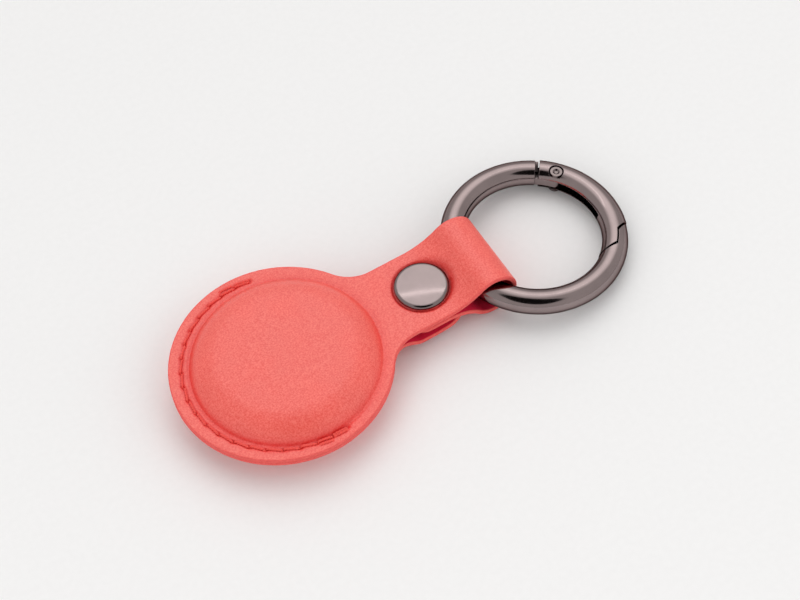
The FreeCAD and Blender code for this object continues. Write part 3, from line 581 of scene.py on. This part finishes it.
def disc_grid(plan, dome, rise, rim, height, up):
    """Outer face of a disc domed about a centre: rings from the plan's outline in to the dome's
    middle. Rim is the level of the rim and height its level at a place of the plan, which fades up
    the dome; up is 1 for the front and -1 for the back."""
    rings = []
    for step in range(RIM_STEPS):
        share = step / RIM_STEPS
        ring = []
        for x, y in plan:
            turn = math.atan2(y - dome[1], x - dome[0])
            foot_x = dome[0] + DOME_FOOT * math.cos(turn)
            foot_y = dome[1] + DOME_FOOT * math.sin(turn)
            px = x + (foot_x - x) * share
            py = y + (foot_y - y) * share
            ring.append(Vector((px, py, height(px, py))))
        rings.append(ring)
    for radius, lift in dome_section(rise):
        ring = []
        for x, y in plan:
            turn = math.atan2(y - dome[1], x - dome[0])
            px = dome[0] + radius * math.cos(turn)
            py = dome[1] + radius * math.sin(turn)
            level = rim + (height(px, py) - rim) * (1 - lift / rise)
            ring.append(Vector((px, py, level + up * lift)))
        rings.append(ring)
    points = [point for ring in rings for point in ring]
    count = len(plan)
    faces = []
    for row in range(len(rings) - 1):
        for i in range(count):
            j = (i + 1) % count
            face = (row * count + i, row * count + j, (row + 1) * count + j, (row + 1) * count + i)
            faces.append(face if up > 0 else face[::-1])
    centre = len(points)
    middle = sum(rings[-1], Vector()) / count
    points.append(middle)
    last = (len(rings) - 1) * count
    for i in range(count):
        face = (last + i, last + (i + 1) % count, centre)
        faces.append(face if up > 0 else face[::-1])
    return points, faces


def strap_rows(points, faces, across, rows, up):
    """Continue the outer face from the neck line with rows of points, and give the border loop of
    the whole face. The neck line is the first across + 1 points of the disc's outline."""
    count = len(rows[0])
    starts = [0]
    for row in rows:
        starts.append(len(points))
        points.extend(row)
    for upper, lower in zip(starts, starts[1:]):
        for i in range(count - 1):
            face = (lower + i, lower + i + 1, upper + i + 1, upper + i)
            faces.append(face if up > 0 else face[::-1])
    low_side = list(starts)
    high_side = [start + across for start in starts]
    last = starts[-1]
    end = [last + i for i in range(1, across)]
    return low_side, end, high_side


def fold_path():
    """Section of the folded strap's outer face, from the neck to the tip below, with the loop as
    an oval that wide hollows join to the flat runs. Gives the path and where the loop starts and
    ends in it."""
    def oval(turn):
        return (
            LOOP_X + LOOP_HALF_LENGTH * math.cos(turn),
            LOOP_Z + LOOP_HALF_HEIGHT * math.sin(turn),
        )

    def hollow(rim, bend, side):
        """Place along the strap of the hollow that rests on a flat run and on the oval, and the
        angles at which it meets the oval."""
        best = None
        for k in range(HOLLOW_TRIES):
            turn = math.pi - side * math.pi / 2 * k / HOLLOW_TRIES
            x, z = oval(turn)
            nx = math.cos(turn) / LOOP_HALF_LENGTH
            nz = math.sin(turn) / LOOP_HALF_HEIGHT
            size = math.hypot(nx, nz)
            miss = abs(z + bend * nz / size - rim - side * bend)
            if best is None or miss < best[0]:
                best = (miss, x + bend * nx / size, turn, math.atan2(-nz, -nx))
        return best[1:]

    x_up, turn_up, meet_up = hollow(RIM_TOP, FOLD_UPPER, 1)
    x_low, turn_low, meet_low = hollow(RETURN_BOTTOM, FOLD_LOWER, -1)
    neck_x = outline(STRAP_HALF, 2)[0][0]
    count = round((x_up - neck_x) / STRAP_STEP)
    path = [(neck_x + (x_up - neck_x) * k / count, RIM_TOP) for k in range(count)]
    path += arc_points(
        (x_up, RIM_TOP + FOLD_UPPER), FOLD_UPPER, -math.pi / 2, meet_up, HOLLOW_STEPS
    )[:-1]
    loop_start = len(path)
    span = turn_low - 2 * math.pi - turn_up
    path += [oval(turn_up + span * k / LOOP_STEPS) for k in range(LOOP_STEPS)]
    loop_end = len(path)
    path += arc_points(
        (x_low, RETURN_BOTTOM - FOLD_LOWER), FOLD_LOWER, meet_low, math.pi / 2, HOLLOW_STEPS
    )[:-1]
    tip = RETURN_TIP + EDGE_ROUND
    path += [
        (x_low + (tip - x_low) * math.sin(math.pi / 2 * k / RETURN_STEPS), RETURN_BOTTOM)
        for k in range(RETURN_STEPS + 1)
    ]
    return path, loop_start, loop_end


def ease(share):
    """Smooth step from 0 to 1."""
    share = min(1.0, max(0.0, share))
    return share * share * (3 - 2 * share)


def cap_press(x, y):
    """The cap's rim presses a ring into the strap."""
    out, depth, width = CAP_GROOVE
    away = math.hypot(x - SNAP_X, y) - CAP_RADIUS - out
    return depth * math.exp(-(away / width) ** 2)


def front_leather(materials):
    across = STRAP_ACROSS
    plan = outline(STRAP_HALF, across)

    def height(x, y):
        return RIM_TOP - seam_sink(x, y) - crease_sink(x, y, FRONT_DOME) + rim_wave(x, y)

    points, faces = disc_grid(plan, FRONT_DOME, FRONT_RISE, RIM_TOP, height, 1)
    tip = RETURN_TIP + EDGE_ROUND
    rows = []
    path, loop_start, loop_end = fold_path()
    for i, (x, z) in enumerate(path[1:], start=1):
        half = STRAP_HALF - EDGE_ROUND
        if i > loop_end:
            corner = RETURN_CORNER - EDGE_ROUND
            rest = max(0.0, corner - (x - tip))
            half -= corner - math.sqrt(max(corner * corner - rest * rest, 0.0))
        row = []
        for k in range(across + 1):
            y = half * (2 * k / across - 1)
            level = z
            out = math.hypot(x - SNAP_X, y)
            if i < loop_start:
                # The press stud holds both layers flat round itself
                free = ease((out - CAP_RADIUS - CAP_HOLD) / HOLD_RUN)
                level = RIM_TOP + (z - RIM_TOP) * free
                level += rim_wave(x, y) * (1 - i / loop_start) - cap_press(x, y)
            elif i >= loop_end:
                free = ease((out - SOCKET_RADIUS) / HOLD_RUN)
                level = RETURN_BOTTOM + (z - RETURN_BOTTOM) * free
            row.append(Vector((x, y, level)))
        rows.append(row)
    low_side, end, high_side = strap_rows(points, faces, across, rows, 1)
    around = list(range(across + 1, len(plan)))
    loop = low_side + end + high_side[::-1] + around
    piece = sheet_mesh("front_leather", points, faces, [loop], materials)
    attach(piece, "pouch")
    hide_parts("front_panel")


def tab_level(x):
    """Height of the back leather's outer face along the middle of the tab."""
    start, end = TAB_BEND
    if x <= start:
        return BACK_RISE
    if x >= end:
        # The tip leans up towards the fold
        return TAB_BOTTOM + TIP_RISE * ease((x - TIP_RISE_X) / (TAB_TIP - TIP_RISE_X))
    return BACK_RISE + (TAB_BOTTOM - BACK_RISE) * ease((x - start) / (end - start))


def tab_curl(x, y):
    """Rise of the tab's long edges, which curl up towards the folded strap past the stud."""
    along = max(0.0, (x - CURL_X) / (TAB_TIP - CURL_X))
    return CURL_RISE * along * along * ease((abs(y) - CURL_Y) / (TAB_HALF - CURL_Y))


def back_leather(materials):
    across = TAB_ACROSS
    plan = outline(TAB_HALF, across)

    def height(x, y):
        return tab_level(x) + seam_sink(x, y) + crease_sink(x, y, BACK_DOME) + rim_wave(y, x)

    points, faces = disc_grid(plan, BACK_DOME, BACK_RISE, BACK_RISE, height, -1)
    neck_x = plan[0][0]
    tip = TAB_TIP - EDGE_ROUND
    corner = TAB_CORNER - EDGE_ROUND
    rows = []
    for step in range(1, TAB_STEPS + 1):
        x = neck_x + (tip - neck_x) * math.sin(math.pi / 2 * step / TAB_STEPS)
        rest = max(0.0, corner - (tip - x))
        half = TAB_HALF - EDGE_ROUND - corner + math.sqrt(max(corner * corner - rest * rest, 0.0))
        row = []
        for k in range(across + 1):
            y = half * (2 * k / across - 1)
            row.append(Vector((x, y, height(x, y) + tab_curl(x, y))))
        rows.append(row)
    low_side, end, high_side = strap_rows(points, faces, across, rows, -1)
    around = list(range(across + 1, len(plan)))
    loop = low_side + end + high_side[::-1] + around
    piece = sheet_mesh("back_leather", points, faces, [loop[::-1]], materials)
    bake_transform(piece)
    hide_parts("back_panel", "back_flap")


def strand(bm, path, radius, sides=7):
    """Round tube along a path, closed at both ends."""
    rings = []
    for i, point in enumerate(path):
        way = (path[min(i + 1, len(path) - 1)] - path[max(i - 1, 0)]).normalized()
        side = way.cross(Vector((0, 0, 1)))
        side = side.normalized() if side.length > 1e-4 else Vector((1, 0, 0))
        over = side.cross(way)
        rings.append([
            bm.verts.new(point + radius * (side * math.cos(a) + over * math.sin(a)))
            for a in (2 * math.pi * k / sides for k in range(sides))
        ])
    for first, second in zip(rings, rings[1:]):
        for k in range(sides):
            j = (k + 1) % sides
            bm.faces.new((first[k], second[k], second[j], first[j])).smooth = True
    bm.faces.new(rings[0])
    bm.faces.new(rings[-1][::-1])


def stitch(bm, start, finish, bow, lift, side, twist):
    """Plied stitch from one hole to the next: two strands wound round its line, with both ends
    diving into the leather. Bow pushes its middle outward, lift raises it off the face."""
    along = finish - start
    outward = Vector((start.x + finish.x, start.y + finish.y, 0)).normalized()
    up = Vector((0, 0, side))
    line = []
    for k in range(STITCH_STEPS + 1):
        share = k / STITCH_STEPS
        from_middle = 2 * share - 1
        rise = lift * (1 - from_middle ** 6) - STITCH_DIVE * from_middle ** 12
        swell = 1 - from_middle ** 2
        line.append(start + along * share + outward * (bow * swell) + up * rise)
    across = along.normalized().cross(up)
    for phase in (0, math.pi):
        path = []
        for k, point in enumerate(line):
            turn = phase + twist + k / STITCH_STEPS * 2 * math.pi * PLY_TURNS
            path.append(point + PLY_OFFSET * (across * math.cos(turn) + up * math.sin(turn)))
        strand(bm, path, PLY_RADIUS)


def seam(name, node, level, side, material, seed):
    """One thread of the seam: a row of stitches, doubled at both ends where it is tacked."""
    chance = random.Random(seed)
    bm = bmesh.new()
    angles = stitch_angles()
    half = STITCH_LENGTH / 2 / STITCH_RADIUS
    for index, angle in enumerate(angles):
        ends = []
        for turn, slant in ((-half, -STITCH_SLANT), (half, STITCH_SLANT)):
            radius = STITCH_RADIUS + slant * side + chance.uniform(-RADIUS_PLAY, RADIUS_PLAY)
            there = angle + turn + chance.uniform(-ANGLE_PLAY, ANGLE_PLAY)
            x = STITCH_X + radius * math.cos(there)
            ends.append(Vector((x, radius * math.sin(there), level)))
        bow = chance.uniform(-BOW_PLAY, BOW_PLAY)
        stitch(bm, *ends, bow, STITCH_LIFT, side, chance.uniform(0, TWIST_PLAY))
        apart = TACKS.get(min(index, STITCH_COUNT - 1 - index))
        if apart:
            shift = [Vector((end.x, end.y, 0)).normalized() * apart for end in ends]
            doubled = [end + move for end, move in zip(ends, shift)]
            stitch(bm, *doubled, TACK_BOW, TACK_LIFT, side, chance.uniform(0, TWIST_PLAY))
    piece = finish_mesh(name, bm, [material])
    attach(piece, "pouch")
    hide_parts(node)


def dress_metal():
    """Give every metal solid its finish: dark and light tone, then least and most roughness."""
    gunmetal = metal("ring_gunmetal", (0.27, 0.215, 0.213), (0.31, 0.248, 0.245), (0.11, 0.16))
    cap = metal(
        "cap_gunmetal", (0.235, 0.19, 0.188), (0.27, 0.217, 0.215), (0.085, 0.125), crowned=True
    )
    snap = metal("snap_gunmetal", (0.27, 0.22, 0.218), (0.31, 0.25, 0.248), (0.22, 0.28))
    steel = metal(
        "pin_steel", (0.19, 0.155, 0.152), (0.25, 0.205, 0.2), (0.16, 0.22), rounding=0.00006
    )
    spring = metal(
        "spring_steel", (0.42, 0.40, 0.39), (0.5, 0.48, 0.47), (0.22, 0.3), rounding=0.00003
    )
    finishes = {
        gunmetal: ("ring_body", "ring_gate"),
        cap: ("snap_cap",),
        snap: ("snap_cap_post", "snap_socket", "snap_stud", "snap_stud_post"),
        steel: ("gate_pin",),
        spring: ("gate_spring", "snap_spring"),
    }
    for material, names in finishes.items():
        for name in names:
            mesh = nodes[name].data
            mesh.materials.clear()
            mesh.materials.append(material)


def coil_spring():
    """Coil in the gate's channel: it leans on the tongue."""
    solid = nodes["gate_spring"]
    piece = bpy.data.objects.new("gate_coil", solid.data.copy())
    piece.matrix_world = solid.matrix_world.copy()
    scene.collection.objects.link(piece)
    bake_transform(piece)
    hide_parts("gate_spring")


def lay_floor():
    bm = bmesh.new()
    bmesh.ops.create_grid(bm, x_segments=1, y_segments=1, size=3)
    mesh = bpy.data.meshes.new("floor")
    bm.to_mesh(mesh)
    bm.free()
    mesh.materials.append(floor_material())
    floor = bpy.data.objects.new("floor", mesh)
    floor.location.z = -0.00005
    scene.collection.objects.link(floor)


scene.view_settings.view_transform = "Standard"
place_camera()
light_studio()
lay_floor()
leathers = [leather_face(), leather_edge(), leather_inside()]
front_leather(leathers)
back_leather(leathers)
thread = thread_material()
seam("needle_stitches", "needle_thread", RIM_TOP - THREAD_SINK, 1, thread, seed=11)
seam("bobbin_stitches", "bobbin_thread", BACK_RISE + THREAD_SINK, -1, thread, seed=12)
dress_metal()
coil_spring()
